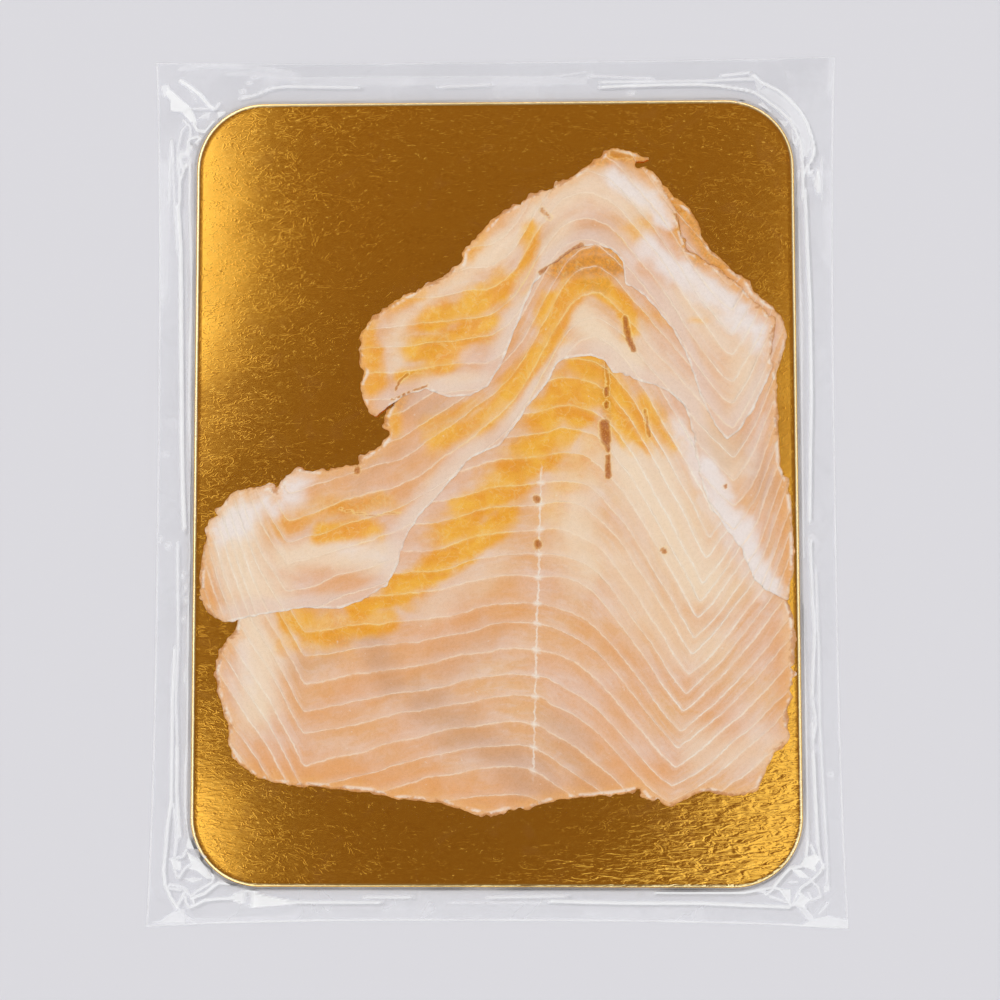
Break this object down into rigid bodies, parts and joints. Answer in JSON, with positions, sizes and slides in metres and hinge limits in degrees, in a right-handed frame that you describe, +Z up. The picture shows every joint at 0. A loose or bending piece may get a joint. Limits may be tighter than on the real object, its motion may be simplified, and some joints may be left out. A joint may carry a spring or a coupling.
{
  "type": "pack of smoked trout",
  "caption": "Flat vacuum pack of overlapping smoked fish slices on a gold foil card, sealed in a clear film pouch.",
  "frame": {"origin": "middle of the flat underside, at the bottom centre of the bounding box", "axes": "X across the pack, +Y along its length towards the tip of the upper slice, +Z up through its thickness"},
  "size_m": [0.202, 0.2544, 0.0076],
  "materials": {
    "clear_film": "clear glossy vacuum film",
    "gold_foil_card": "card laminated with crinkled gold foil",
    "lower_flesh": "moist smoked fish flesh, pale pink and cream",
    "middle_flesh": "moist smoked fish flesh with yellow fat",
    "upper_flesh": "moist smoked fish flesh with yellow fat"
  },
  "bodies": {
    "root": {"pouch": "clear_film", "gold_card": "gold_foil_card", "slice_lower": "lower_flesh", "slice_middle": "middle_flesh", "slice_upper": "upper_flesh"}
  },
  "joints": []
}
